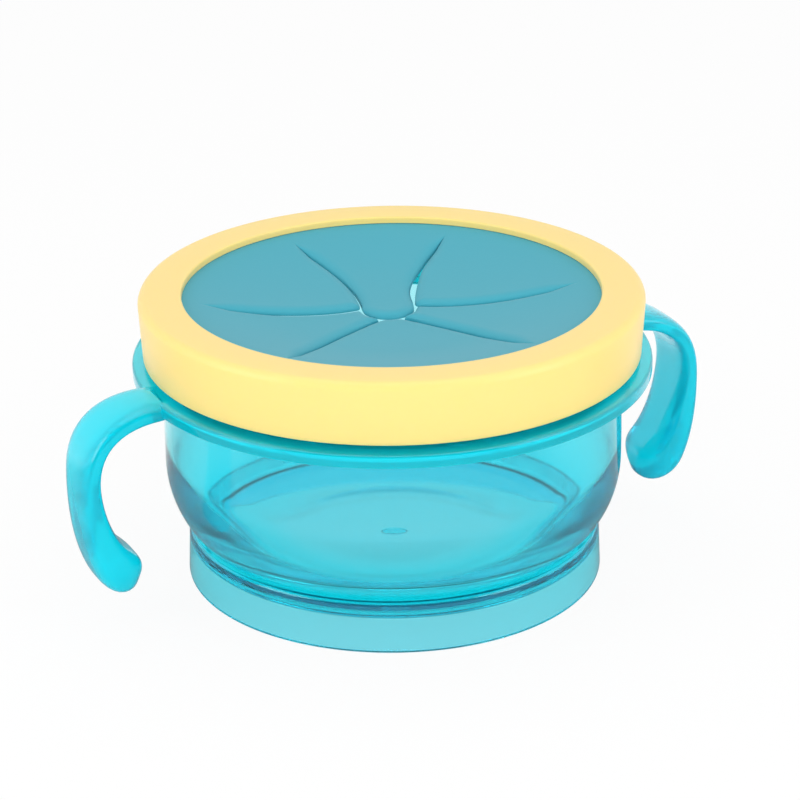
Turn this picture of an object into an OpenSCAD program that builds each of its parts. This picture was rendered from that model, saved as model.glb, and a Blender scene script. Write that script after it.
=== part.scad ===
// Toddler snack container: a two-handled bowl, a screw ring and a soft insert with six flaps.
// Origin at the middle of the surface it stands on, +Z up, one handle on each side along X.

/* [Bowl] */
// Outside diameter of the straight wall
bowl_d = 107.6; // [104:0.2:108]
// Thickness of the wall and floor
wall_t = 1.8; // [1.6:0.1:2]
// Outside radius of the lower corner
corner_r = 24.5; // [22:0.5:26]
// Inside radius of the lower corner, larger so that the corner is thick
inner_corner_r = 28; // [26:0.5:29]
// Height of the floor's underside above the table
floor_z = 4.3; // [4.1:0.1:5]
// Height of the rim of the neck
rim_z = 66.2; // [65.8:0.1:66.2]
// Outside diameter of the neck, without its thread
neck_d = 108; // [107:0.2:109]
// Diameter of the gate mark under the floor
gate_d = 6; // [4:0.5:8]

/* [Foot ring] */
// Outside diameter where the foot stands
foot_d = 98.5; // [96:0.1:99]
// Height of the shoulder of the foot
foot_h = 12.2; // [11.6:0.1:12.6]
// Thickness of the foot
foot_t = 1.8; // [1.6:0.1:2.2]
// Height of the flat ceiling of the solid shelf between the foot and the corner
shelf_z = 8.5; // [7.5:0.1:10]

/* [Flange] */
// Outside diameter of the flange
flange_d = 121.2; // [119:0.2:123]
// Thickness of the flange
flange_t = 3.1; // [2.4:0.1:3.2]
// Height of the middle of the flange
flange_z = 52.05; // [51:0.05:52.2]

/* [Handles] */
// Reach of the middle of the grip from the middle of the bowl
grip_x = 77.3; // [75:0.1:80]
// Reach of the end of the hook
hook_x = 65.6; // [63:0.2:67]
// Height of the middle of the hook's end
hook_z = 10.3; // [9:0.1:13]
// Width of the grip
grip_w = 16; // [14:0.5:19]
// Thickness of the grip
grip_t = 4.4; // [4:0.1:6]
// Thickness that the hook swells to at its end
hook_t = 13.8; // [8:0.1:14]

/* [Screw ring] */
// Outside diameter at the bottom of the skirt
ring_d = 116; // [115.6:0.2:118]
// Outside diameter below the rounded shoulder
shoulder_d = 117.4; // [116.6:0.2:119]
// Height of the bottom of the skirt
ring_z = 54.9; // [54.6:0.1:56]
// Height of the top face
top_z = 69.6; // [69.4:0.1:70.4]
// Radius of the shoulder
shoulder_r = 2; // [1:0.1:2.5]
// Diameter of the hole for the hand
hole_d = 97.2; // [95:0.2:98]
// Inside diameter of the skirt, without its thread
skirt_inner_d = 112.8; // [112.4:0.1:113]

/* [Soft insert] */
// Depth of the dish at its middle
dish = 5; // [3:0.5:6]
// Thickness of the flaps
web_t = 1.5; // [1.2:0.1:1.8]
// Thickness of the clamped flange
clamp_t = 1.8; // [1.6:0.1:1.8]
// Depth of the plug skirt below the rim of the neck
plug_h = 4.6; // [3:0.2:6]
// Turn of the insert from the handles' cross axis
insert_turn = -17.6; // [-30:0.1:30]

/* [Slits] */
// Radius at which the slits end
slit_end_r = 43.5; // [42:0.1:44.5]
// Width of the slits
slit_w = 0.5; // [0.4:0.05:0.8]
// Bearing of the two back slits from the middle of the back flap
back_slit = 25; // [22:0.5:28]
// Bearing of the two side slits
side_slit = 87; // [84:0.5:92]
// Bearing of the two front slits
front_slit = 140.5; // [136:0.5:145]
// Radius of the back flap's tip
tip_r = 6.3; // [5:0.1:7]
// Rounding of the flaps' corners
flap_round = 1.6; // [1:0.1:2]

/* [Hidden] */

$fn = 144;
over = 1;
seam = 0.2;
bowl_r = bowl_d / 2;
inner_r = bowl_r - wall_t;
foot_r = foot_d / 2;
foot_draft = 0.45;
foot_inner_draft = 0.3;
foot_edge_r = 0.5;
foot_shoulder_r = 1;
gate_h = 0.7;
rim_edge_r = 0.6;
flange_r = flange_d / 2;
flange_edge_r = 0.6;
plate_z = rim_z + clamp_t;
seat_gap = 0.05;
insert_top = plate_z - seat_gap;
hole_r = hole_d / 2;
lip_edge_r = 0.5;
skirt_inner_r = skirt_inner_d / 2;
clamp_r = 54.4;
clamp_lap = 0.6;
plug_gap = 0.3;
plug_t = 1.7;
dish_z = insert_top - dish;
dish_r = (hole_r * hole_r + dish * dish) / (2 * dish);
fold_gap = 0.3;
fold_angle = 32;
fold_h = 3;
curve_steps = 14;
handle_sides = 32;
grip_steps = 26;
cap_steps = 8;
cap_angle = 84;
cap_u = 0.84;
root_x = 58.2;
root_z = 51.6;
root_w = 14;
root_t = 4.7;
root_end_u = 0.333;
hook_w = 16.4;
swell_u = 0.47;
swell_power = 1.6;
grip_top_z = 36.2;
inner_squareness = 4;
outer_squareness = 3;

// A point on a cubic curve with four control points
function cubic(p, t) =
    pow(1 - t, 3) * p[0] + 3 * t * pow(1 - t, 2) * p[1]
    + 3 * t * t * (1 - t) * p[2] + pow(t, 3) * p[3];

function cubic_points(p, steps) = [for (i = [0:steps]) cubic(p, i / steps)];

function reversed(list) = [for (i = [len(list) - 1:-1:0]) list[i]];

function mirrored(list) = [for (p = list) [-p[0], p[1]]];

// A point of the insert's plan, by its bearing from the middle of the back flap
function at_bearing(bearing, r) = [-r * sin(bearing), r * cos(bearing)];

// Bowl

// Half section of a round tub with a rounded lower corner
module tub_section(r, round_r, bottom_z, top) {
    translate([0, bottom_z + round_r])
        square([r, top - bottom_z - round_r]);
    translate([0, bottom_z])
        square([r - round_r, round_r]);
    intersection() {
        translate([r - round_r, bottom_z + round_r])
            circle(r = round_r);
        translate([r - round_r, bottom_z])
            square(round_r);
    }
}

module foot_section() {
    top_r = foot_r - foot_draft;
    edge = foot_edge_r;
    shoulder = foot_shoulder_r;
    polygon([
        [foot_r - foot_t, edge],
        [foot_r - foot_t + edge, 0],
        [foot_r - edge, 0],
        [foot_r, edge],
        [top_r, foot_h - shoulder],
        [top_r - shoulder, foot_h],
        [top_r - foot_t - foot_inner_draft, foot_h]
    ]);
    translate([foot_r - foot_t + edge, edge])
        circle(r = edge, $fn = 32);
    translate([foot_r - edge, edge])
        circle(r = edge, $fn = 32);
    translate([top_r - shoulder, foot_h - shoulder])
        circle(r = shoulder, $fn = 32);
}

// The corner and the foot are joined by solid plastic with a flat ceiling
module shelf_section() {
    centre_z = floor_z + corner_r;
    shelf_r = bowl_r - corner_r + sqrt(pow(corner_r, 2) - pow(centre_z - shelf_z, 2));
    translate([shelf_r, shelf_z])
        square([foot_r - foot_t - foot_inner_draft - shelf_r, foot_h - shelf_z]);
}

module flange_section() {
    edge = flange_edge_r;
    bottom_z = flange_z - flange_t / 2;
    translate([bowl_r - over, bottom_z])
        square([flange_r - edge - bowl_r + over, flange_t]);
    translate([flange_r - 2 * edge, bottom_z + edge])
        square([2 * edge, flange_t - 2 * edge]);
    for (z = [bottom_z + edge, bottom_z + flange_t - edge])
        translate([flange_r - edge, z])
            circle(r = edge, $fn = 32);
}

module neck_section() {
    neck_r = neck_d / 2;
    translate([inner_r, flange_z])
        square([neck_r - inner_r, rim_z - rim_edge_r - flange_z]);
    translate([inner_r + rim_edge_r, rim_z - rim_edge_r - over])
        square([neck_r - inner_r - 2 * rim_edge_r, rim_edge_r + over]);
    translate([inner_r + rim_edge_r, rim_z - rim_edge_r])
        circle(r = rim_edge_r, $fn = 32);
    translate([neck_r - rim_edge_r, rim_z - rim_edge_r])
        circle(r = rim_edge_r, $fn = 32);
}

module bowl() {
    color("DarkTurquoise", 0.6) {
        difference() {
            rotate_extrude() {
                tub_section(bowl_r, corner_r, floor_z, flange_z);
                foot_section();
                shelf_section();
                flange_section();
                neck_section();
            }
            rotate_extrude()
                tub_section(inner_r, inner_corner_r, floor_z + wall_t, rim_z + over);
        }
        translate([0, 0, floor_z - gate_h])
            cylinder(d = gate_d, h = gate_h + wall_t / 2, $fn = 48);
    }
}

// Handles

// Middle line of a handle in the plane of X and Z: out of the flange, down the grip, into the hook
grip_top = [grip_x, grip_top_z];
upper_curve = [[root_x, root_z], [66.6, 52.1], [grip_x, 49.7], grip_top];
lower_curve = [grip_top, [grip_x, 27.2], [74.7, hook_z + 3.2], [hook_x, hook_z]];

function line_at(u) =
    u < 0.5 ? cubic(upper_curve, 2 * u) : cubic(lower_curve, 2 * u - 1);

function along(u) =
    let (step = line_at(min(u + 0.004, 1)) - line_at(max(u - 0.004, 0)))
    step / norm(step);

// How much of the root's and of the hook's size a section has
function root_share(u) = pow(max(0, 1 - u / root_end_u), 2);
function hook_share(u) = pow(max(0, (u - swell_u) / (1 - swell_u)), swell_power);

function thickness_at(u) =
    grip_t + (root_t - grip_t) * root_share(u) + (hook_t - grip_t) * hook_share(u);

function width_at(u) =
    grip_w + (root_w - grip_w) * root_share(u) + (hook_w - grip_w) * hook_share(u);

// Places and sizes of the sections: even steps along the grip, then round over the end
stations = concat(
    [for (i = [0:grip_steps]) [cap_u * i / grip_steps, 1]],
    [for (i = [1:cap_steps])
        let (a = cap_angle * i / cap_steps)
        [cap_u + (1 - cap_u) * sin(a), cos(a)]]
);

// The inner side of a handle is flatter than its outer side
function rounded(x, squareness) = sign(x) * pow(abs(x), 2 / squareness);

function section_points(u, size) =
    let (middle = line_at(u), way = along(u), t = thickness_at(u) * size, w = width_at(u) * size)
    [for (i = [0:handle_sides - 1])
        let (a = 360 * i / handle_sides,
             squareness = cos(a) > 0 ? inner_squareness : outer_squareness,
             off = rounded(cos(a), squareness) * t / 2,
             side = rounded(sin(a), squareness) * w / 2)
        [middle[0] + way[1] * off, side, middle[1] - way[0] * off]];

module handle_form() {
    n = handle_sides;
    last = len(stations) - 1;
    rings = [for (s = stations) each section_points(s[0], s[1])];
    skin = [for (k = [0:last - 1]) for (i = [0:n - 1])
        let (a = k * n + i, b = k * n + (i + 1) % n)
        each [[a, b, b + n], [a, b + n, a + n]]];
    start = [[for (i = [n - 1:-1:0]) i]];
    finish = [[for (i = [0:n - 1]) last * n + i]];
    polyhedron(points = rings, faces = concat(skin, start, finish), convexity = 6);
}

module handle_right() {
    color("DarkTurquoise", 0.6)
        difference() {
            handle_form();
            rotate_extrude()
                flange_section();
        }
}

module handle_left() {
    mirror([1, 0, 0])
        handle_right();
}

// Screw ring

module ring_section() {
    ring_r = ring_d / 2;
    shoulder_x = shoulder_d / 2;
    shoulder_z = top_z - shoulder_r;
    polygon([
        [skirt_inner_r, ring_z],
        [ring_r, ring_z],
        [shoulder_x, shoulder_z],
        [shoulder_x - shoulder_r, top_z],
        [hole_r + lip_edge_r, top_z],
        [hole_r, top_z - lip_edge_r],
        [hole_r, plate_z],
        [skirt_inner_r, plate_z]
    ]);
    translate([shoulder_x - shoulder_r, shoulder_z])
        circle(r = shoulder_r, $fn = 64);
    translate([hole_r + lip_edge_r, top_z - lip_edge_r])
        circle(r = lip_edge_r, $fn = 32);
}

module screw_ring() {
    color("Khaki")
        rotate_extrude()
            ring_section();
}

// Soft insert

// Half section of the dished disc that the flaps are cut from
module dish_section() {
    intersection() {
        difference() {
            translate([0, dish_z + dish_r])
                circle(r = dish_r + web_t, $fn = 1080);
            translate([0, dish_z + dish_r])
                circle(r = dish_r, $fn = 1080);
        }
        translate([0, dish_z - 2 * web_t])
            square([hole_r, dish + 2 * web_t]);
    }
}

module clamp_section() {
    plug_r = inner_r - plug_gap;
    translate([hole_r - clamp_lap, rim_z])
        square([clamp_r - hole_r + clamp_lap, insert_top - rim_z]);
    translate([plug_r - plug_t, rim_z - plug_h])
        square([plug_t, plug_h + seam]);
}

// Slits, in the insert's own plan, with the back flap along +Y
back_end = at_bearing(back_slit, slit_end_r);
side_end = at_bearing(side_slit, slit_end_r);
front_end = at_bearing(front_slit, slit_end_r);
tip_y = 6.5;
join = [-tip_r, tip_y];
function tip_at(a) = [tip_r * cos(a), tip_r * sin(a) + tip_y];
front_join_angle = 250;

back_line = cubic_points([back_end, [-8.6, 25], [-tip_r, 16], join], curve_steps);
side_line = cubic_points([side_end, [-28, 2.2], [-15, 2.6], join], curve_steps);
front_line = cubic_points([front_end, [-20, -17], [-10.5, -6.5], tip_at(front_join_angle)], curve_steps);
tip_side = [for (a = [180:10:front_join_angle]) tip_at(a)];
tip_bottom = [for (a = [front_join_angle:5:540 - front_join_angle]) tip_at(a)];
tip_round = [for (a = [180:10:360]) tip_at(a)];

// A line of points widened into a thin strip
function strip(line, w) =
    let (last = len(line) - 1,
         side = [for (i = [0:last])
             let (d = line[min(i + 1, last)] - line[max(i - 1, 0)])
             [-d[1], d[0]] / norm(d) * w / 2])
    concat([for (i = [0:last]) line[i] + side[i]],
           [for (i = [last:-1:0]) line[i] - side[i]]);

module slits() {
    around_tip = concat(back_line, tip_round, reversed(mirrored(back_line)));
    polygon(strip(around_tip, slit_w));
    for (line = [side_line, front_line]) {
        polygon(strip(line, slit_w));
        polygon(strip(mirrored(line), slit_w));
    }
}

// Outlines of the flaps up to the middle of the slits and of the folds
back_outline = concat(back_line, tip_round, reversed(mirrored(back_line)));
side_back_outline = concat(back_line, reversed(side_line));
side_front_outline = concat(side_line, tip_side, reversed(front_line));
front_outline = concat(front_line, tip_bottom, reversed(mirrored(front_line)));

// The flaps' folds are chords between the ends of neighbouring slits
folds = [
    [-back_slit, back_slit],
    [back_slit, side_slit],
    [side_slit, front_slit],
    [front_slit, 360 - front_slit],
    [360 - front_slit, 360 - side_slit],
    [360 - side_slit, 360 - back_slit]
];

function fold_middle(fold) = (fold[0] + fold[1]) / 2;
function fold_half(fold) = (fold[1] - fold[0]) / 2;
function fold_distance(fold) = slit_end_r * cos(fold_half(fold));
function middle_surface(r) = dish_z + dish_r - sqrt(pow(dish_r + web_t / 2, 2) - r * r);

// The fold lies at the mean height of the disc along it
function fold_z(fold) =
    (2 * middle_surface(fold_distance(fold)) + middle_surface(slit_end_r)) / 3;

// The room that lets a flap swing both ways about its fold, clear of the rim's edge
module fold_cut(fold) {
    spread = fold_gap / 2 + fold_h / tan(fold_angle);
    length = 2 * slit_end_r * sin(fold_half(fold));
    rotate(fold_middle(fold))
        translate([length / 2, fold_distance(fold), fold_z(fold)])
            rotate([90, 0, -90])
                linear_extrude(length)
                    polygon([
                        [over, -fold_h],
                        [-spread, -fold_h],
                        [-fold_gap / 2, 0],
                        [-spread, fold_h],
                        [over, fold_h]
                    ]);
}

module flap(outline, fold) {
    color("CadetBlue")
        rotate(insert_turn)
            difference() {
                intersection() {
                    rotate_extrude()
                        dish_section();
                    translate([0, 0, dish_z - 2 * web_t])
                        linear_extrude(dish + 4 * web_t)
                            offset(r = flap_round, $fn = 32)
                                offset(r = -flap_round, $fn = 32)
                                    difference() {
                                        polygon(outline);
                                        slits();
                                    }
                }
                fold_cut(fold);
            }
}

module flap_back() {
    flap(back_outline, folds[0]);
}

module flap_left_back() {
    flap(side_back_outline, folds[1]);
}

module flap_left_front() {
    flap(side_front_outline, folds[2]);
}

module flap_front() {
    flap(front_outline, folds[3]);
}

module flap_right_front() {
    flap(mirrored(side_front_outline), folds[4]);
}

module flap_right_back() {
    flap(mirrored(side_back_outline), folds[5]);
}

// The rim's opening has six sides, each a little outside the fold of its flap
module insert_rim() {
    color("CadetBlue")
        rotate(insert_turn)
            difference() {
                rotate_extrude() {
                    dish_section();
                    clamp_section();
                }
                translate([0, 0, dish_z - 2 * web_t])
                    linear_extrude(dish + 4 * web_t)
                        polygon([for (fold = folds) at_bearing(fold[0], slit_end_r + fold_gap)]);
            }
}

bowl();
handle_left();
handle_right();
screw_ring();
insert_rim();
flap_back();
flap_left_back();
flap_left_front();
flap_front();
flap_right_front();
flap_right_back();
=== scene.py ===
import math

import bpy
from mathutils import Matrix, Vector


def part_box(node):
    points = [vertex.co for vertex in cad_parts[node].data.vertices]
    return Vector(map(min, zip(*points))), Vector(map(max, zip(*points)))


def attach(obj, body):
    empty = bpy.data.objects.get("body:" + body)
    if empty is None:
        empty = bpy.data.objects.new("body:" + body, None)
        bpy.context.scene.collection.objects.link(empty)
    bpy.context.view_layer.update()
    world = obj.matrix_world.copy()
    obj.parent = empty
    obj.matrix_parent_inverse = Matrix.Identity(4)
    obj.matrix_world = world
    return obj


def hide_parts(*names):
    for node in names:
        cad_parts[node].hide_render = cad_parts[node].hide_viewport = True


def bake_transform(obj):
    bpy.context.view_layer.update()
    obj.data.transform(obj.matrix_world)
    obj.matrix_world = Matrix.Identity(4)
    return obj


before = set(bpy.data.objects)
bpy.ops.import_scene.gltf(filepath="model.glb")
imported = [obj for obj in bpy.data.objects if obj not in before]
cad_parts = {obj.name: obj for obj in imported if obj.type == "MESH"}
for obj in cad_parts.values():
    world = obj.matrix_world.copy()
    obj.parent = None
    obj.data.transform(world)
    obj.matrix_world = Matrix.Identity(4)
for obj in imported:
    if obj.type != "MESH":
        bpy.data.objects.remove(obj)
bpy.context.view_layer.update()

# Sizes below are in millimetres, in the frame of the part: +X through the right handle,
# +Y away from the front, +Z up. The model itself is in metres. In the names, R is a radius,
# T a thickness, W a width, H a height and Z a height above the table.
MM = 0.001


def box_mm(node):
    """The lower and the upper corner of a CAD node."""
    return [[value / MM for value in corner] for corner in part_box(node)]


bowl_hi = box_mm("bowl")[1]
ring_lo, ring_hi = box_mm("screw_ring")
rim_hi = box_mm("insert_rim")[1]

# How meshes are made: steps round a turned piece, the gap under which two vertices are one, and the
# angle past which an edge stays crisp
AROUND = 192
MERGE_GAP = 0.002
CRISP_ANGLE = 35

# Bowl
RIM_Z = bowl_hi[2]
WALL_T = 1.8
WALL_R = 53.8
INNER_R = WALL_R - WALL_T
CORNER_R = 24.5
INNER_CORNER_R = 28.0
FLOOR_Z = 4.3
NECK_R = 54.0
RIM_EDGE = 0.6
FOOT_R = 49.25
FOOT_TOP_R = 48.8
FOOT_H = 12.2
FOOT_T = 1.8
FOOT_SHOULDER = 1.0
FOOT_EDGE = 0.5
FOOT_DRAFT = 0.5
SHELF_Z = 8.5
SHELF_FILLET = 1.0
FLANGE_R = bowl_hi[1]
FLANGE_Z = 52.05
FLANGE_T = 3.1
FLANGE_EDGE = 0.6
GATE_R = 3.0
GATE_H = 0.7
GATE_EDGE = 0.2
FILLET = 0.8

# Thread between the neck and the ring: four starts, 12 mm of rise in a turn. Each ridge has its crest's
# radius, its height where it starts, its length in degrees, and its widths at the root and the crest.
LEAD = 12.0
STARTS = 4
NECK_RIDGE = {"crest_r": 55.5, "mid_z": 58.6, "turn_deg": 110, "root_w": 1.6, "crest_w": 0.7}
RING_RIDGE = {"crest_r": 54.9, "mid_z": 56.9, "turn_deg": 70, "root_w": 1.4, "crest_w": 0.6}
RING_RIDGE_START = 20
RIDGE_DEPTH = 0.4
RIDGE_STEPS = 36

# Handles: the middle line runs out of the flange, down the grip and into the hook. T is measured in
# the plane of the line and W across it. Values such as ROOT_END are shares of the way along the line.
GRIP_X = 77.3
ROOT_X = 58.2
UPPER_CURVE = [(ROOT_X, 51.6), (66.6, 52.1), (GRIP_X, 49.7), (GRIP_X, 36.2)]
LOWER_CURVE = [(GRIP_X, 36.2), (GRIP_X, 27.2), (74.7, 13.5), (65.6, 10.3)]
GRIP_T, ROOT_T, HOOK_T = 4.4, 4.7, 13.8
GRIP_W, ROOT_W, HOOK_W = 16.0, 14.0, 16.4
ROOT_END, SWELL_START, SWELL_POWER = 1 / 3, 0.47, 1.6
ROOT_RISE = 0.04
ROOT_STEP = 0.2
INNER_SQUARENESS, OUTER_SQUARENESS = 4.0, 3.0
BAR_SIDES = 64
CAP_START = 0.84
CAP_ANGLE = 87
GRIP_STEPS = 30
CAP_STEPS = 12

# Screw ring
RING_R = 58.0
SHOULDER_R = 58.7
RING_Z = ring_lo[2]
TOP_Z = ring_hi[2]
SHOULDER = 2.0
HOLE_R = 48.6
ROOF_Z = 68.0
SKIRT_INNER_R = 56.4
SKIRT_EDGE = 0.4
SKIRT_CHAMFER = 0.3
LIP_EDGE = 0.5

# Soft insert: a dish cut by six curved slits. Bearings are in degrees from the middle of the back flap.
DISH = 5.0
DISH_TOP_Z = rim_hi[2]
WEB_T = 1.5
DISH_Z = DISH_TOP_Z - DISH
DISH_R = (HOLE_R ** 2 + DISH ** 2) / (2 * DISH)
CLAMP_R = 54.4
FLAP_OUT_R = 49.2
PLUG_R = 51.7
PLUG_T = 1.7
PLUG_H = 4.6
INSERT_TURN = math.radians(-17.6)
SLIT_END_R = 43.5
SLIT_W = 0.5
BACK_SLIT, SIDE_SLIT, FRONT_SLIT = 25.0, 87.0, 140.5
SLIT_OPENS = 8.0
TIP_R = 6.3
TIP_Y = TIP_R + 0.2
TIP_CORNER = 1.1
TIP_BEND = 1.2

# A flap's sheet of vertices: columns across it, rows along its slits, and rows from its seam with the
# rim to the start of the slits. Its edges are rolled down, except where the slits end.
COLUMNS, ROWS, SEAM_ROWS = 48, 44, 5
ROW_POWER = 1.25
ROLL_W, ROLL_H = 2.6, 1.3
ROLL_TAPER = 6.0

# How much lower each flap has settled at its tip, and how far its left and right edges stand back
SETTLED = {"flap_left_front": 0.7, "flap_right_front": 0.4, "flap_front": 0.9, "flap_back": 0.25}
SETTLE_REACH = 20.0
GAPES = {"flap_back": (0.0, 0.5), "flap_right_back": (0.5, 0.0)}
GAPE_START, GAPE_LENGTH = 0.45, 0.5

# Where the lower corner's thick plastic has its deeper colour: below this height, beyond this radius,
# and this far outside the corner's inner face
THICK_TOP = 20.0
THICK_R = 41.0
THICK_DEPTH = 0.3

# Camera: its place in the view's own turn about Z, then its turn, its tilt down and its roll in degrees
CAMERA_PLACE = (1.68, -627.15, 307.18)
CAMERA_TURN, CAMERA_DOWN, CAMERA_ROLL = -25.1, 22.99, -0.61
SENSOR_W, LENS = 36, 130.33

# Studio: the way to the camera, the strength of the soft light all round, the height in metres that
# the lamps point at, and how much of the floor shows plain white under the bowl and around it
STUDIO_FRONT = (-0.4242, -0.9056, 0.0)
FILL = 0.65
LAMP_AIM_Z = 0.035
WHITE_UNDER, WHITE_AROUND = 0.7, 0.92
LIGHT_BOUNCES = 24


def deselect_all():
    if bpy.context.object and bpy.context.object.mode != "OBJECT":
        bpy.ops.object.mode_set(mode="OBJECT")
    bpy.ops.object.select_all(action="DESELECT")


def make_active(piece):
    deselect_all()
    piece.select_set(True)
    bpy.context.view_layer.objects.active = piece


def edit(piece):
    """Opens the piece in edit mode, with all of it selected."""
    make_active(piece)
    bpy.ops.object.mode_set(mode="EDIT")
    bpy.ops.mesh.select_mode(type="VERT")
    bpy.ops.mesh.select_all(action="SELECT")


def close_edit():
    bpy.ops.object.mode_set(mode="OBJECT")


def finish_mesh(piece):
    """The piece's place goes into its mesh, and its sharp edges stay crisp."""
    make_active(piece)
    bpy.ops.object.transform_apply(location=True, rotation=True, scale=True)
    bpy.ops.object.shade_smooth_by_angle(angle=math.radians(CRISP_ANGLE))
    return piece


def arc(middle, radius, start, end, steps):
    """Points of an arc in a half section, with its angles in degrees from the outward direction."""
    return [
        (middle[0] + radius * math.cos(math.radians(start + (end - start) * i / steps)),
         middle[1] + radius * math.sin(math.radians(start + (end - start) * i / steps)))
        for i in range(steps + 1)
    ]


def draw_outline(name, points):
    """A line of edges through points (radius, height) in the plane of X and Z: a vertex is extruded
    from point to point."""
    deselect_all()
    bpy.ops.mesh.primitive_plane_add(size=MM, location=(points[0][0] * MM, 0, points[0][1] * MM))
    outline = bpy.context.object
    outline.name = outline.data.name = name
    edit(outline)
    bpy.ops.mesh.merge(type="CENTER")
    for here, there in zip(points, points[1:]):
        step = ((there[0] - here[0]) * MM, 0, (there[1] - here[1]) * MM)
        bpy.ops.mesh.extrude_region_move(TRANSFORM_OT_translate={"value": step})
    close_edit()
    return outline


def revolve(name, points, closed=False):
    """A half section turned round the Z axis. An open section starts and ends on the axis."""
    piece = draw_outline(name, points + points[:1] if closed else points)
    edit(piece)
    bpy.ops.mesh.remove_doubles(threshold=MERGE_GAP * MM)
    bpy.ops.mesh.select_all(action="SELECT")
    bpy.ops.mesh.spin(steps=AROUND, angle=2 * math.pi, center=(0, 0, 0), axis=(0, 0, 1))
    bpy.ops.mesh.select_all(action="SELECT")
    bpy.ops.mesh.remove_doubles(threshold=MERGE_GAP * MM)
    bpy.ops.mesh.normals_make_consistent(inside=False)
    close_edit()
    make_active(piece)
    bpy.ops.object.transform_apply(location=True, rotation=True, scale=True)
    return piece


def apply_modifier(piece, kind, **settings):
    make_active(piece)
    modifier = piece.modifiers.new(kind.title(), kind)
    for name, value in settings.items():
        setattr(modifier, name, value)
    bpy.ops.object.modifier_apply(modifier=modifier.name)


def unite(piece, other):
    """Joins a closed solid to the piece and leaves no face inside it."""
    apply_modifier(piece, "BOOLEAN", operation="UNION", solver="EXACT", object=other)
    bpy.data.objects.remove(other)


# Threads

def thread_ridge(name, root_r, start_deg, crest_r, mid_z, turn_deg, root_w, crest_w):
    """One start of a thread: a short section swept up a helix and closed by a flat face at each end."""
    section = [
        (root_r, mid_z - root_w / 2), (crest_r, mid_z - crest_w / 2),
        (crest_r, mid_z + crest_w / 2), (root_r, mid_z + root_w / 2),
    ]
    ridge = draw_outline(name, section + section[:1])
    edit(ridge)
    bpy.ops.mesh.remove_doubles(threshold=MERGE_GAP * MM)
    close_edit()
    make_active(ridge)
    bpy.ops.object.transform_apply(location=True, rotation=True, scale=True)
    apply_modifier(ridge, "SCREW", angle=math.radians(turn_deg),
                   screw_offset=LEAD * MM * turn_deg / 360, steps=RIDGE_STEPS,
                   render_steps=RIDGE_STEPS, axis="Z")
    edit(ridge)
    bpy.ops.mesh.select_all(action="DESELECT")
    bpy.ops.mesh.select_non_manifold(extend=False, use_wire=False, use_boundary=True,
                                     use_multi_face=False, use_non_contiguous=False, use_verts=False)
    bpy.ops.mesh.edge_face_add()
    bpy.ops.mesh.select_all(action="SELECT")
    bpy.ops.mesh.normals_make_consistent(inside=False)
    bpy.ops.transform.rotate(value=-math.radians(start_deg), orient_axis="Z", center_override=(0, 0, 0))
    close_edit()
    return ridge


# Bowl and handles

def bowl_section():
    """Half a section of the bowl, from the middle of its floor up the inside and down the outside."""
    corner = (WALL_R - CORNER_R, FLOOR_Z + CORNER_R)
    floor_top = FLOOR_Z + WALL_T
    inner_corner = (INNER_R - INNER_CORNER_R, floor_top + INNER_CORNER_R)
    meet = -math.degrees(math.asin((corner[1] - FOOT_H) / CORNER_R))
    shelf = -math.degrees(math.asin((corner[1] - SHELF_Z) / CORNER_R))
    shelf_r = FOOT_R - FOOT_T - FOOT_DRAFT
    flange_top, flange_under = FLANGE_Z + FLANGE_T / 2, FLANGE_Z - FLANGE_T / 2
    return (
        [(0, floor_top)]
        + arc(inner_corner, INNER_CORNER_R, -90, 0, 24)
        + arc((INNER_R + RIM_EDGE, RIM_Z - RIM_EDGE), RIM_EDGE, 180, 90, 6)
        + arc((NECK_R - RIM_EDGE, RIM_Z - RIM_EDGE), RIM_EDGE, 90, 0, 6)
        + arc((NECK_R + FILLET, flange_top + FILLET), FILLET, 180, 270, 6)
        + arc((FLANGE_R - FLANGE_EDGE, flange_top - FLANGE_EDGE), FLANGE_EDGE, 90, 0, 6)
        + arc((FLANGE_R - FLANGE_EDGE, flange_under + FLANGE_EDGE), FLANGE_EDGE, 0, -90, 6)
        + arc((WALL_R + FILLET, flange_under - FILLET), FILLET, 90, 180, 6)
        + arc(corner, CORNER_R, 0, meet, 14)
        + arc((FOOT_TOP_R - FOOT_SHOULDER, FOOT_H - FOOT_SHOULDER), FOOT_SHOULDER, 80, 0, 6)
        + arc((FOOT_R - FOOT_EDGE, FOOT_EDGE), FOOT_EDGE, 0, -90, 5)
        + arc((FOOT_R - FOOT_T + FOOT_EDGE, FOOT_EDGE), FOOT_EDGE, -90, -180, 5)
        + arc((shelf_r - SHELF_FILLET, SHELF_Z - SHELF_FILLET), SHELF_FILLET, 0, 90, 6)
        + arc(corner, CORNER_R, shelf, -90, 14)
        + [(GATE_R + GATE_EDGE, FLOOR_Z)]
        + arc((GATE_R - GATE_EDGE, FLOOR_Z - GATE_H + GATE_EDGE), GATE_EDGE, 0, -90, 3)
        + [(0, FLOOR_Z - GATE_H)]
    )


def cubic(points, t):
    weights = ((1 - t) ** 3, 3 * t * (1 - t) ** 2, 3 * t * t * (1 - t), t ** 3)
    return tuple(sum(w * p[axis] for w, p in zip(weights, points)) for axis in (0, 1))


def handle_line(u):
    return cubic(UPPER_CURVE, 2 * u) if u < 0.5 else cubic(LOWER_CURVE, 2 * u - 1)


def line_length(u, pieces=200):
    points = [handle_line(u * i / pieces) for i in range(pieces + 1)]
    return sum(math.dist(a, b) for a, b in zip(points, points[1:]))


def root_share(u):
    """How much of the root's size the handle has here: all at the flange, and none from ROOT_END on."""
    return max(0, 1 - u / ROOT_END) ** 2


def hook_share(u):
    """How much of the hook's size the handle has here: none up to SWELL_START, and all at the end."""
    return max(0, (u - SWELL_START) / (1 - SWELL_START)) ** SWELL_POWER


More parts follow.
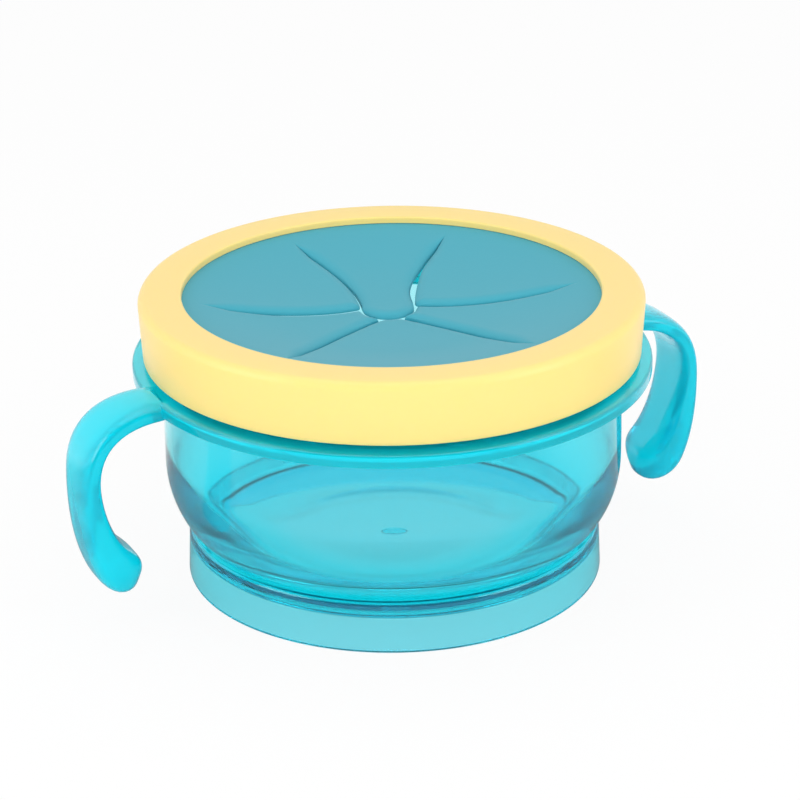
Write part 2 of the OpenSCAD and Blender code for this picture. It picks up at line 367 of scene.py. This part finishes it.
def handle_thickness(u):
    """The first bit of the root rises gently out of the flange."""
    rise = min(u / ROOT_RISE, 1)
    root_t = FLANGE_T - ROOT_STEP + (ROOT_T - FLANGE_T + ROOT_STEP) * rise * (2 - rise)
    return GRIP_T + (root_t - GRIP_T) * root_share(u) + (HOOK_T - GRIP_T) * hook_share(u)


def handle_width(u):
    return GRIP_W + (ROOT_W - GRIP_W) * root_share(u) + (HOOK_W - GRIP_W) * hook_share(u)


def handle_stations():
    """Places along the handle with the share of the full section there: even steps, with two more
    where the root rises, then a round end."""
    even = [(CAP_START * i / GRIP_STEPS, 1.0) for i in range(GRIP_STEPS + 1)]
    even[1:1] = [(0.01, 1.0), (0.02, 1.0)]
    angles = [math.radians(CAP_ANGLE * i / CAP_STEPS) for i in range(1, CAP_STEPS + 1)]
    return even + [(CAP_START + (1 - CAP_START) * math.sin(a), math.cos(a)) for a in angles]


def section_point(angle):
    """A point of the handle's section, one wide and one thick, and flatter on its inner side."""
    across, out = math.cos(angle), math.sin(angle)
    power = 2 / (INNER_SQUARENESS if out < 0 else OUTER_SQUARENESS)
    return tuple(math.copysign(abs(value) ** power, value) / 2 for value in (across, out))


def handle_bar(name):
    """The handle as a straight bar: its section is extruded from station to station and scaled there."""
    deselect_all()
    bpy.ops.mesh.primitive_circle_add(vertices=BAR_SIDES, radius=MM, fill_type="NGON")
    bar = bpy.context.object
    bar.name = bar.data.name = name
    for i, vertex in enumerate(bar.data.vertices):
        across, out = section_point(2 * math.pi * i / BAR_SIDES)
        vertex.co = (across * GRIP_W * MM, out * GRIP_T * MM, 0)
    edit(bar)
    stations = handle_stations()
    width, thickness, height = GRIP_W, GRIP_T, 0.0
    for count, (u, share) in enumerate(stations):
        along = line_length(u)
        if count:
            step = (0, 0, (along - height) * MM)
            bpy.ops.mesh.extrude_region_move(TRANSFORM_OT_translate={"value": step})
        new_width, new_thickness = handle_width(u) * share, handle_thickness(u) * share
        bpy.ops.transform.resize(value=(new_width / width, new_thickness / thickness, 1),
                                 center_override=(0, 0, along * MM))
        width, thickness, height = new_width, new_thickness, along
    bpy.ops.mesh.select_all(action="SELECT")
    bpy.ops.mesh.normals_make_consistent(inside=False)
    close_edit()
    return bar


def handle_path():
    data = bpy.data.curves.new("handle_path", "CURVE")
    data.dimensions = "3D"
    data.resolution_u = 64
    data.twist_mode = "MINIMUM"
    spline = data.splines.new("BEZIER")
    spline.bezier_points.add(2)
    places = [UPPER_CURVE[0], UPPER_CURVE[3], LOWER_CURVE[3]]
    before = [UPPER_CURVE[0], UPPER_CURVE[2], LOWER_CURVE[2]]
    after = [UPPER_CURVE[1], LOWER_CURVE[1], LOWER_CURVE[3]]
    for point, place, left, right in zip(spline.bezier_points, places, before, after):
        point.co = (place[0] * MM, 0, place[1] * MM)
        point.handle_left = (left[0] * MM, 0, left[1] * MM)
        point.handle_right = (right[0] * MM, 0, right[1] * MM)
    path = bpy.data.objects.new("handle_path", data)
    bpy.context.collection.objects.link(path)
    return path


def handle(name, mirrored):
    bar = handle_bar(name)
    path = handle_path()
    apply_modifier(bar, "CURVE", object=path, deform_axis="POS_Z")
    bpy.data.objects.remove(path)
    if mirrored:
        edit(bar)
        bpy.ops.transform.mirror(constraint_axis=(True, False, False), center_override=(0, 0, 0))
        bpy.ops.mesh.normals_make_consistent(inside=False)
        close_edit()
    return bar


def make_bowl():
    bowl = revolve("bowl_moulding", bowl_section())
    for name, mirrored in (("grip_right", False), ("grip_left", True)):
        unite(bowl, handle(name, mirrored))
    for start in range(STARTS):
        unite(bowl, thread_ridge("neck_ridge", NECK_R - RIDGE_DEPTH, start * 360 / STARTS, **NECK_RIDGE))
    return finish_mesh(bowl)


# Screw ring

def ring_section():
    """Half a section of the ring, from its lower edge up the outside and down through the hole."""
    return (
        [(SKIRT_INNER_R + SKIRT_CHAMFER, RING_Z)]
        + arc((RING_R - SKIRT_EDGE, RING_Z + SKIRT_EDGE), SKIRT_EDGE, -90, 0, 4)
        + arc((SHOULDER_R - SHOULDER, TOP_Z - SHOULDER), SHOULDER, 3, 90, 10)
        + arc((HOLE_R + LIP_EDGE, TOP_Z - LIP_EDGE), LIP_EDGE, 90, 180, 5)
        + [(HOLE_R, ROOF_Z), (SKIRT_INNER_R, ROOF_Z), (SKIRT_INNER_R, RING_Z + SKIRT_CHAMFER)]
    )


def make_ring():
    ring = revolve("ring_moulding", ring_section(), closed=True)
    for start in range(STARTS):
        bearing = RING_RIDGE_START + start * 360 / STARTS
        unite(ring, thread_ridge("ring_ridge", SKIRT_INNER_R + RIDGE_DEPTH, bearing, **RING_RIDGE))
    return finish_mesh(ring)


# Soft insert

def at_bearing(bearing, r):
    """A point of the insert's plan, by its bearing from the middle of the back flap."""
    return (-r * math.sin(math.radians(bearing)), r * math.cos(math.radians(bearing)))


def mirror_line(line):
    return [(-x, y) for x, y in line]


def tip_at(angle):
    return (TIP_R * math.cos(math.radians(angle)), TIP_R * math.sin(math.radians(angle)) + TIP_Y)


def cubic_line(points, steps=40):
    return [cubic(points, i / steps) for i in range(steps + 1)]


# The slits on the left side, from their outer ends to where they meet the back flap's round tip. Those
# on the right mirror them.
JOIN = (-TIP_R, TIP_Y)
FRONT_JOIN = 250
BACK_LINE = cubic_line([at_bearing(BACK_SLIT, SLIT_END_R), (-8.6, 25), (-TIP_R, 16), JOIN])
SIDE_LINE = cubic_line([at_bearing(SIDE_SLIT, SLIT_END_R), (-28, 2.2), (-15, 2.6), JOIN])
FRONT_LINE = cubic_line([
    at_bearing(FRONT_SLIT, SLIT_END_R), (-20, -17), (-10.5, -6.5), tip_at(FRONT_JOIN),
])
TIP_ROUND = [tip_at(a) for a in range(180, 361, 10)]
TIP_SIDE = [tip_at(a) for a in range(180, FRONT_JOIN + 1, 5)]
TIP_BOTTOM = [tip_at(a) for a in range(FRONT_JOIN, 540 - FRONT_JOIN + 1, 5)]


def resample(line, places):
    """Points of a line at shares of its length."""
    lengths = [0.0]
    for a, b in zip(line, line[1:]):
        lengths.append(lengths[-1] + math.dist(a, b))
    result, k = [], 0
    for place in places:
        goal = place * lengths[-1]
        while k < len(line) - 2 and lengths[k + 1] < goal:
            k += 1
        span = lengths[k + 1] - lengths[k]
        share = 0 if span == 0 else min(max((goal - lengths[k]) / span, 0), 1)
        result.append(tuple(a + (b - a) * share for a, b in zip(line[k], line[k + 1])))
    return result


def surface_z(x, y):
    """Height of the dish's upper face."""
    r = min(math.hypot(x, y), HOLE_R)
    return DISH_Z + DISH_R - math.sqrt(DISH_R ** 2 - r * r)


# Each flap: the slit on its left, the line round its tip, the slit on its right (all from the
# root to the tip, as seen from the middle), and the bearings of the two slits
FLAPS = {
    "flap_back": (BACK_LINE, TIP_ROUND, mirror_line(BACK_LINE), BACK_SLIT, -BACK_SLIT),
    "flap_left_back": (SIDE_LINE, [JOIN], BACK_LINE, SIDE_SLIT, BACK_SLIT),
    "flap_left_front": (FRONT_LINE, TIP_SIDE[::-1], SIDE_LINE, FRONT_SLIT, SIDE_SLIT),
    "flap_front": (mirror_line(FRONT_LINE), TIP_BOTTOM[::-1], FRONT_LINE,
                   360 - FRONT_SLIT, FRONT_SLIT),
    "flap_right_front": (mirror_line(SIDE_LINE), mirror_line(TIP_SIDE), mirror_line(FRONT_LINE),
                         360 - SIDE_SLIT, 360 - FRONT_SLIT),
    "flap_right_back": (mirror_line(BACK_LINE), [mirror_line([JOIN])[0]], mirror_line(SIDE_LINE),
                        360 - BACK_SLIT, 360 - SIDE_SLIT),
}


def inset(line, distance, side, gape):
    """The line moved sideways, by nothing at its first point and by the whole distance once the slit
    has opened. A gape moves it further near its inner end."""
    result = []
    run = 0.0
    length = sum(math.dist(a, b) for a, b in zip(line, line[1:]))
    for i, (x, y) in enumerate(line):
        before, after = line[max(i - 1, 0)], line[min(i + 1, len(line) - 1)]
        run += math.dist(line[i - 1], line[i]) if i else 0
        dx, dy = after[0] - before[0], after[1] - before[1]
        size = math.hypot(dx, dy) or 1
        open_share = math.sin(math.pi * min(max((run / length - GAPE_START) / GAPE_LENGTH, 0), 1))
        move = side * (distance * min(run / SLIT_OPENS, 1) + gape * open_share)
        result.append((x - dy / size * move, y + dx / size * move))
    return result


def without_corner(line):
    """The line without its last bit, where the corner of the tip is rounded off."""
    return [point for point in line if math.dist(point, line[-1]) > TIP_CORNER]


def make_flap(name):
    """A flap as a sheet of vertices spread evenly between its seam, its two slits and its tip."""
    left, tip, right, left_bearing, right_bearing = FLAPS[name]
    half = SLIT_W / 2
    left_gape, right_gape = GAPES.get(name, (0.0, 0.0))
    left_side = inset(left, half, 1, left_gape)
    right_side = inset(right, half, -1, right_gape)
    tip_line = tip if len(tip) > 1 else [tip[0], tip[0]]
    tip_line = pull_towards(tip_line, middle_of(left_side + right_side), half)
    left_cut = without_corner(left_side)
    right_cut = without_corner(right_side)
    tip_row = smooth_corner(left_cut[-1], tip_line[0], tip_line[1:-1], tip_line[-1], right_cut[-1])
    columns = edge_spacing(COLUMNS)
    left_points = rows_of(at_bearing(left_bearing, FLAP_OUT_R), left_cut)
    right_points = rows_of(at_bearing(right_bearing, FLAP_OUT_R), right_cut)
    across_deg = right_bearing - left_bearing
    root_points = [at_bearing(left_bearing + across_deg * c, FLAP_OUT_R) for c in columns]
    tip_points = resample(tip_row, columns)
    grid = []
    total = len(left_points) - 1
    for j in range(total + 1):
        v = j / total
        row = []
        for i, u in enumerate(columns):
            point = []
            for axis in (0, 1):
                across = (1 - u) * left_points[j][axis] + u * right_points[j][axis]
                down = (1 - v) * root_points[i][axis] + v * tip_points[i][axis]
                corners = ((1 - u) * (1 - v) * root_points[0][axis]
                           + u * (1 - v) * root_points[-1][axis]
                           + (1 - u) * v * tip_points[0][axis]
                           + u * v * tip_points[-1][axis])
                point.append(across + down - corners)
            row.append(tuple(point))
        grid.append(row)
    edge = left_points[SEAM_ROWS:] + tip_points + right_points[:SEAM_ROWS - 1:-1]
    return build_flap(name, grid, edge)


def middle_of(points):
    return (sum(p[0] for p in points) / len(points), sum(p[1] for p in points) / len(points))


def pull_towards(line, centre, distance):
    """The line with each point moved by the distance towards the centre."""
    result = []
    for x, y in line:
        dx, dy = centre[0] - x, centre[1] - y
        size = math.hypot(dx, dy)
        result.append((x + dx / size * distance, y + dy / size * distance))
    return result


def smooth_corner(start, corner_a, between, corner_b, end):
    """The tip's outline: from one slit round the first corner, along the tip and round the second."""
    def bend(a, corner, b, steps=8):
        return [
            tuple((1 - t) ** 2 * p + 2 * t * (1 - t) * q + t * t * r for p, q, r in zip(a, corner, b))
            for t in (i / steps for i in range(steps + 1))
        ]

    if not between:
        middle = tuple((p + q) / 2 for p, q in zip(corner_a, corner_b))
        return bend(start, middle, end, 16)
    first = next((i for i, p in enumerate(between) if math.dist(p, corner_a) > TIP_BEND), 0)
    last = len(between) - 1 - next(
        (i for i, p in enumerate(reversed(between)) if math.dist(p, corner_b) > TIP_BEND), 0)
    return (bend(start, corner_a, between[first]) + between[first + 1:last]
            + bend(between[last], corner_b, end))


def edge_spacing(count):
    """Shares from 0 to 1, closer together near both ends, where the edges are rolled."""
    near = [0.0, 0.004, 0.012, 0.024, 0.04, 0.06, 0.085, 0.11]
    middle = [near[-1] + (1 - 2 * near[-1]) * (i + 1) / (count - 2 * len(near) + 1)
              for i in range(count - 2 * len(near))]
    return near + middle + [1 - n for n in reversed(near)]


def rows_of(seam, slit):
    """Points down one side of a flap: from its seam to the slit, then along the slit."""
    first = resample([seam, slit[0]], [i / SEAM_ROWS for i in range(SEAM_ROWS)])
    places = [1 - (1 - i / ROWS) ** ROW_POWER for i in range(ROWS + 1)]
    return first + resample(slit, places)


def settled(name, x, y):
    """How much lower the flap lies here than the dish it was cut from."""
    share = min(max((SLIT_END_R - math.hypot(x, y)) / SETTLE_REACH, 0), 1)
    return SETTLED.get(name, 0.0) * share * share * (3 - 2 * share)


def build_flap(name, grid, edge):
    """The sheet gets its places and its thickness, and its free edge is rolled down."""
    deselect_all()
    columns, rows = len(grid[0]), len(grid)
    bpy.ops.mesh.primitive_grid_add(x_subdivisions=columns - 1, y_subdivisions=rows - 1, size=MM)
    flap = bpy.context.object
    flap.name = flap.data.name = name + "_sheet"
    places = [point for row in grid for point in row]
    for vertex, (x, y) in zip(flap.data.vertices, places):
        vertex.co = (x * MM, y * MM, (surface_z(x, y) - settled(name, x, y)) * MM)
    edit(flap)
    bpy.ops.mesh.normals_make_consistent(inside=False)
    bpy.ops.mesh.extrude_region_move(TRANSFORM_OT_translate={"value": (0, 0, -WEB_T * MM)})
    bpy.ops.mesh.select_all(action="SELECT")
    bpy.ops.mesh.normals_make_consistent(inside=False)
    close_edit()
    for index, (x, y) in enumerate(places):
        gap = min(math.dist((x, y), p) for p in edge)
        taper = min(max((SLIT_END_R - math.hypot(x, y)) / ROLL_TAPER, 0), 1)
        roll = ROLL_W * taper
        if gap < roll:
            drop = taper * ROLL_H * (1 - math.sqrt(1 - (1 - gap / roll) ** 2))
            flap.data.vertices[index].co.z -= drop * MM
    edit(flap)
    bpy.ops.transform.rotate(value=-INSERT_TURN, orient_axis="Z", center_override=(0, 0, 0))
    close_edit()
    return finish_mesh(flap)


def make_insert_rim():
    """The insert's outer part: the flange that the ring clamps, and the plug that fits the neck."""
    section = [
        (FLAP_OUT_R, DISH_TOP_Z), (CLAMP_R, DISH_TOP_Z), (CLAMP_R, RIM_Z),
        (PLUG_R, RIM_Z), (PLUG_R, RIM_Z - PLUG_H), (PLUG_R - PLUG_T, RIM_Z - PLUG_H),
        (PLUG_R - PLUG_T, RIM_Z), (FLAP_OUT_R, DISH_TOP_Z - WEB_T),
    ]
    rim = revolve("insert_clamp", section, closed=True)
    return finish_mesh(rim)


# Materials

def linear(hex_colour):
    """An sRGB hex colour as linear red, green, blue and 1."""
    values = [int(hex_colour[i:i + 2], 16) / 255 for i in (1, 3, 5)]
    return [v / 12.92 if v <= 0.04045 else ((v + 0.055) / 1.055) ** 2.4 for v in values] + [1.0]


def add_node(tree, kind, settings=None, links=None):
    """Adds a node, sets its inputs and properties, and links named inputs to other nodes' outputs."""
    node = tree.nodes.new(kind)
    for name, value in (settings or {}).items():
        if isinstance(name, int) or name in node.inputs:
            node.inputs[name].default_value = value
        else:
            setattr(node, name, value)
    for name, output in (links or {}).items():
        tree.links.new(output, node.inputs[name])
    return node


def new_material(name):
    material = bpy.data.materials.new(name)
    material.use_nodes = True
    tree = material.node_tree
    tree.nodes.clear()
    return material, tree


def clear_polypropylene():
    """Turquoise polypropylene, polished by its mould. It is clear where it is thin, and deeper in colour
    where it is thick, at the lower corner and the gate mark. The neck, the flange and the handles are
    made a little cloudy, a painted glow that stands in for the light carried inside the thick plastic,
    so that they glow evenly. The foot has a light cyan tint, a painted shade that stands in for the
    tinted shade on the floor under the bowl, which light reaches only through the plastic."""
    material, tree = new_material("clear_turquoise_polypropylene")
    place = add_node(tree, "ShaderNodeTexCoord").outputs["Object"]
    flat = add_node(tree, "ShaderNodeVectorMath", {"operation": "MULTIPLY", 1: (1, 1, 0)}, {0: place})
    reach = add_node(tree, "ShaderNodeVectorMath", {"operation": "LENGTH"}, {0: flat.outputs["Vector"]})
    height = add_node(tree, "ShaderNodeSeparateXYZ", {}, {0: place})
    # painted glow: outside the wall the plastic gets a cloudy cyan diffuse that stands in for light
    # carried inside the thick neck, flange and handles
    painted_glow_mask = add_node(tree, "ShaderNodeMapRange", {
        "From Min": (WALL_R + 0.05) * MM, "From Max": (NECK_R - 0.03) * MM, "To Min": 0.0, "To Max": 1.0,
    }, {"Value": reach.outputs["Value"]})
    # painted shade: the foot gets a cyan tint that stands in for the tinted shade on the floor under the
    # bowl, seen through the foot
    low = add_node(tree, "ShaderNodeMapRange", {
        "From Min": (FOOT_H + 0.3) * MM, "From Max": (FOOT_H - 1) * MM, "To Min": 0.0, "To Max": 1.0,
    }, {"Value": height.outputs["Z"]})
    outer = add_node(tree, "ShaderNodeMapRange", {
        "From Min": (FOOT_R - FOOT_T - 2) * MM, "From Max": (FOOT_R - FOOT_T - 1) * MM,
        "To Min": 0.0, "To Max": 1.0,
    }, {"Value": reach.outputs["Value"]})
    foot_shade_mask = add_node(tree, "ShaderNodeMath", {"operation": "MULTIPLY"},
                    {0: low.outputs["Result"], 1: outer.outputs["Result"]})
    below = add_node(tree, "ShaderNodeMapRange", {
        "From Min": THICK_TOP * MM, "From Max": (FOOT_H + 0.5) * MM, "To Min": 0.0, "To Max": 1.0,
    }, {"Value": height.outputs["Z"]})
    beyond = add_node(tree, "ShaderNodeMapRange", {
        "From Min": (THICK_R - 0.5) * MM, "From Max": (THICK_R + 0.5) * MM, "To Min": 0.0, "To Max": 1.0,
    }, {"Value": reach.outputs["Value"]})
    section = add_node(tree, "ShaderNodeCombineXYZ", {},
                       {"X": reach.outputs["Value"], "Y": height.outputs["Z"]})
    inner_middle = ((INNER_R - INNER_CORNER_R) * MM, (FLOOR_Z + WALL_T + INNER_CORNER_R) * MM, 0)
    from_inner = add_node(tree, "ShaderNodeVectorMath", {"operation": "DISTANCE", 1: inner_middle},
                          {0: section.outputs["Vector"]})
    outside = add_node(tree, "ShaderNodeMapRange", {
        "From Min": (INNER_CORNER_R + THICK_DEPTH) * MM,
        "From Max": (INNER_CORNER_R + 2 * THICK_DEPTH) * MM, "To Min": 0.0, "To Max": 1.0,
    }, {"Value": from_inner.outputs["Value"]})
    low_band = add_node(tree, "ShaderNodeMath", {"operation": "MULTIPLY"},
                        {0: below.outputs["Result"], 1: beyond.outputs["Result"]})
    corner = add_node(tree, "ShaderNodeMath", {"operation": "MULTIPLY"},
                      {0: low_band.outputs[0], 1: outside.outputs["Result"]})
    gate = add_node(tree, "ShaderNodeMapRange", {
        "From Min": (GATE_R + 0.1) * MM, "From Max": (GATE_R - 0.1) * MM, "To Min": 0.0, "To Max": 1.0,
    }, {"Value": reach.outputs["Value"]})
    thick = add_node(tree, "ShaderNodeMath", {"operation": "MAXIMUM"},
                     {0: corner.outputs[0], 1: gate.outputs["Result"]})
    thin = add_node(tree, "ShaderNodeMix", {
        "data_type": "RGBA", 6: linear("#f5f8ff"), 7: linear("#18ecfa"),
    }, {0: thick.outputs[0]})
    # the foot's painted shade: a cyan tint for the shaded floor seen through it
    foot_shaded_colour = add_node(tree, "ShaderNodeMix", {"data_type": "RGBA", 7: linear("#c0eefa")},
                      {0: foot_shade_mask.outputs[0], 6: thin.outputs[2]})
    colour = add_node(tree, "ShaderNodeMix", {"data_type": "RGBA", 7: linear("#16eefe")},
                      {0: painted_glow_mask.outputs["Result"], 6: foot_shaded_colour.outputs[2]})
    # less clear where the painted glow is, so that the cyan diffuse shows
    clear = add_node(tree, "ShaderNodeMapRange", {"To Min": 0.97, "To Max": 0.62},
                     {"Value": painted_glow_mask.outputs["Result"]})
    ripple = add_node(tree, "ShaderNodeTexNoise", {"Scale": 60.0, "Detail": 2.0}, {"Vector": place})
    bump = add_node(tree, "ShaderNodeBump", {"Strength": 0.015, "Distance": 0.001},
                    {"Height": ripple.outputs["Fac"]})
    shader = add_node(tree, "ShaderNodeBsdfPrincipled", {"Roughness": 0.05, "IOR": 1.49}, {
        "Base Color": colour.outputs[2], "Transmission Weight": clear.outputs["Result"],
        "Normal": bump.outputs["Normal"],
    })
    depth = add_node(tree, "ShaderNodeVolumeAbsorption", {
        "Color": (0.0, 0.978, 0.988, 1), "Density": 420.0,
    })
    out = add_node(tree, "ShaderNodeOutputMaterial")
    tree.links.new(shader.outputs["BSDF"], out.inputs["Surface"])
    tree.links.new(depth.outputs["Volume"], out.inputs["Volume"])
    return material


def yellow_polypropylene():
    """Pale yellow polypropylene, satin from its mould, and a little see-through at its edges."""
    material, tree = new_material("pale_yellow_polypropylene")
    place = add_node(tree, "ShaderNodeTexCoord")
    grain = add_node(tree, "ShaderNodeTexNoise", {"Scale": 900.0, "Detail": 3.0},
                     {"Vector": place.outputs["Object"]})
    bump = add_node(tree, "ShaderNodeBump", {"Strength": 0.03, "Distance": 0.0005},
                    {"Height": grain.outputs["Fac"]})
    shader = add_node(tree, "ShaderNodeBsdfPrincipled", {
        "Base Color": linear("#fbdb86"), "Roughness": 0.33, "IOR": 1.49,
        "Subsurface Weight": 0.25, "Subsurface Radius": (1.0, 0.7, 0.3), "Subsurface Scale": 0.002,
    }, {"Normal": bump.outputs["Normal"]})
    out = add_node(tree, "ShaderNodeOutputMaterial")
    tree.links.new(shader.outputs["BSDF"], out.inputs["Surface"])
    return material


def teal_silicone():
    """Teal silicone rubber with the matte face that a blasted mould leaves."""
    material, tree = new_material("teal_silicone_rubber")
    place = add_node(tree, "ShaderNodeTexCoord")
    grain = add_node(tree, "ShaderNodeTexNoise", {"Scale": 1200.0, "Detail": 4.0},
                     {"Vector": place.outputs["Object"]})
    bump = add_node(tree, "ShaderNodeBump", {"Strength": 0.05, "Distance": 0.0004},
                    {"Height": grain.outputs["Fac"]})
    shader = add_node(tree, "ShaderNodeBsdfPrincipled", {
        "Base Color": linear("#3aa2b5"), "Roughness": 0.55, "IOR": 1.41,
        "Sheen Weight": 0.1, "Sheen Roughness": 0.5,
    }, {"Normal": bump.outputs["Normal"]})
    out = add_node(tree, "ShaderNodeOutputMaterial")
    tree.links.new(shader.outputs["BSDF"], out.inputs["Surface"])
    return material


def ray_kinds(tree):
    """Two outputs: rays that show the plain background, and rays that a gloss reflects."""
    path = add_node(tree, "ShaderNodeLightPath")
    through = path.outputs["Is Transmission Ray"]
    shown = add_node(tree, "ShaderNodeMath", {"operation": "MAXIMUM"},
                     {0: path.outputs["Is Camera Ray"], 1: through})
    mirrored = add_node(tree, "ShaderNodeMath", {"operation": "SUBTRACT", "use_clamp": True},
                        {0: path.outputs["Is Glossy Ray"], 1: through})
    return shown.outputs[0], mirrored.outputs[0]


def away_from_front(tree, vector, start, end):
    """0 towards the dim front of the studio and 1 towards its white back, by a place or a direction."""
    toward = add_node(tree, "ShaderNodeVectorMath", {"operation": "DOT_PRODUCT", 1: STUDIO_FRONT},
                      {0: vector})
    return add_node(tree, "ShaderNodeMapRange", {
        "From Min": start, "From Max": end, "To Min": 0.0, "To Max": 1.0,
        "interpolation_type": "SMOOTHSTEP",
    }, {"Value": toward.outputs["Value"]}).outputs["Result"]


def studio_white(name, colour):
    """Painted board: nearly plain white to the camera and through the bowl, and with more of its own
    shade under the bowl. A gloss reflects it white behind the part and dimmer in front."""
    material, tree = new_material(name)
    shown, mirrored = ray_kinds(tree)
    place = add_node(tree, "ShaderNodeTexCoord").outputs["Object"]
    length = add_node(tree, "ShaderNodeVectorMath", {"operation": "LENGTH"}, {0: place})
    lit = add_node(tree, "ShaderNodeMapRange", {
        "From Min": (FOOT_R - 3) * MM, "From Max": FOOT_R * MM,
        "To Min": WHITE_UNDER, "To Max": WHITE_AROUND,
    }, {"Value": length.outputs["Value"]})
    share = add_node(tree, "ShaderNodeMath", {"operation": "MULTIPLY"},
                     {0: shown, 1: lit.outputs["Result"]})
    paint = add_node(tree, "ShaderNodeBsdfDiffuse", {"Color": linear(colour)})
    glow = add_node(tree, "ShaderNodeEmission", {"Color": linear("#ffffff"), "Strength": 1.0})
    mix = add_node(tree, "ShaderNodeMixShader", {}, {0: share.outputs[0]})
    tree.links.new(paint.outputs[0], mix.inputs[1])
    tree.links.new(glow.outputs[0], mix.inputs[2])
    dim = add_node(tree, "ShaderNodeBsdfDiffuse", {"Color": linear("#afafaf")})
    back = away_from_front(tree, place, -0.03, -0.09)
    gloss = add_node(tree, "ShaderNodeMixShader", {}, {0: back})
    tree.links.new(dim.outputs[0], gloss.inputs[1])
    tree.links.new(glow.outputs[0], gloss.inputs[2])
    whole = add_node(tree, "ShaderNodeMixShader", {}, {0: mirrored})
    tree.links.new(mix.outputs[0], whole.inputs[1])
    tree.links.new(gloss.outputs[0], whole.inputs[2])
    out = add_node(tree, "ShaderNodeOutputMaterial")
    tree.links.new(whole.outputs[0], out.inputs["Surface"])
    return material


# Camera, floor and light

def make_camera():
    data = bpy.data.cameras.new("camera")
    camera = bpy.data.objects.new("camera", data)
    bpy.context.collection.objects.link(camera)
    data.sensor_width = SENSOR_W
    data.lens = LENS
    data.clip_start, data.clip_end = 0.01, 20
    turn = Matrix.Rotation(math.radians(CAMERA_TURN), 4, "Z")
    tilt = Matrix.Rotation(math.radians(90 - CAMERA_DOWN), 4, "X")
    roll = Matrix.Rotation(math.radians(CAMERA_ROLL), 4, "Z")
    place = turn @ Vector([value * MM for value in CAMERA_PLACE])
    camera.matrix_world = Matrix.Translation(place) @ turn @ tilt @ roll
    bpy.context.scene.camera = camera


def make_floor():
    deselect_all()
    bpy.ops.mesh.primitive_plane_add(size=6, location=(0, 0, 0))
    floor = bpy.context.object
    floor.name = floor.data.name = "studio_floor"
    floor.data.materials.append(studio_white("white_floor_paint", "#f4f4f4"))


def make_lamp(name, place, aim, size, power, mirrored):
    data = bpy.data.lights.new(name, "AREA")
    data.shape = "RECTANGLE"
    data.size, data.size_y = size
    data.energy = power
    lamp = bpy.data.objects.new(name, data)
    bpy.context.collection.objects.link(lamp)
    lamp.location = place
    lamp.rotation_euler = (Vector(aim) - Vector(place)).to_track_quat("-Z", "Y").to_euler()
    lamp.visible_glossy = mirrored


def make_world():
    """White all round to the camera and through the bowl. A gloss reflects it white behind the part and
    dim in front, and a plain soft light comes from all of it."""
    world = bpy.data.worlds.new("studio")
    world.use_nodes = True
    tree = world.node_tree
    tree.nodes.clear()
    shown, mirrored = ray_kinds(tree)
    white = linear("#ffffff")
    direction = add_node(tree, "ShaderNodeTexCoord").outputs["Generated"]
    back = away_from_front(tree, direction, 0.55, 0.0)
    fill = add_node(tree, "ShaderNodeBackground", {"Color": white, "Strength": FILL})
    plain = add_node(tree, "ShaderNodeBackground", {"Color": white, "Strength": 1.0})
    glossy = add_node(tree, "ShaderNodeBackground", {"Color": white}, {"Strength": back})
    first = add_node(tree, "ShaderNodeMixShader", {}, {0: mirrored})
    tree.links.new(fill.outputs[0], first.inputs[1])
    tree.links.new(glossy.outputs[0], first.inputs[2])
    second = add_node(tree, "ShaderNodeMixShader", {}, {0: shown})
    tree.links.new(first.outputs[0], second.inputs[1])
    tree.links.new(plain.outputs[0], second.inputs[2])
    out = add_node(tree, "ShaderNodeOutputWorld")
    tree.links.new(second.outputs[0], out.inputs["Surface"])
    bpy.context.scene.world = world


make_camera()
make_world()
make_floor()
# Lamps, placed in the view's own turn: place and size in metres, power in watts, and whether a gloss
# reflects the lamp
view_turn = Matrix.Rotation(math.radians(CAMERA_TURN), 4, "Z")
centre = Vector((0, 0, LAMP_AIM_Z))
for lamp_name, spot, size, power, mirrored in (
    ("softbox_top", (0.0, 0.10, 0.75), (0.7, 0.7), 0.95, True),
    ("softbox_left", (-0.60, -0.30, 0.35), (0.35, 0.5), 1.4, True),
    ("softbox_right", (0.60, -0.30, 0.35), (0.35, 0.5), 1.4, True),
    ("softbox_front", (0.0, -0.75, 0.30), (0.4, 0.25), 1.8, False),
):
    make_lamp(lamp_name, view_turn @ Vector(spot), centre, size, power, mirrored)

bowl_plastic = clear_polypropylene()
ring_plastic = yellow_polypropylene()
insert_rubber = teal_silicone()

bowl = make_bowl()
bowl.data.materials.clear()
bowl.data.materials.append(bowl_plastic)
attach(bowl, "bowl")
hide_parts("bowl", "handle_left", "handle_right")

ring = make_ring()
ring.data.materials.clear()
ring.data.materials.append(ring_plastic)
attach(ring, "ring")
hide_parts("screw_ring")

rim = make_insert_rim()
rim.data.materials.append(insert_rubber)
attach(rim, "insert")
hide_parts("insert_rim")

# Each flap meets the insert at its seam and is built as its own sheet, and its CAD node is hidden
for flap_name in FLAPS:
    sheet = make_flap(flap_name)
    sheet.data.materials.append(insert_rubber)
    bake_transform(sheet)
    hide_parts(flap_name)

# light that runs round inside the thick plastic needs more bounces than the default
cycles = bpy.context.scene.cycles
cycles.max_bounces = cycles.glossy_bounces = cycles.transmission_bounces = LIGHT_BOUNCES
bpy.context.scene.view_settings.view_transform = "Standard"
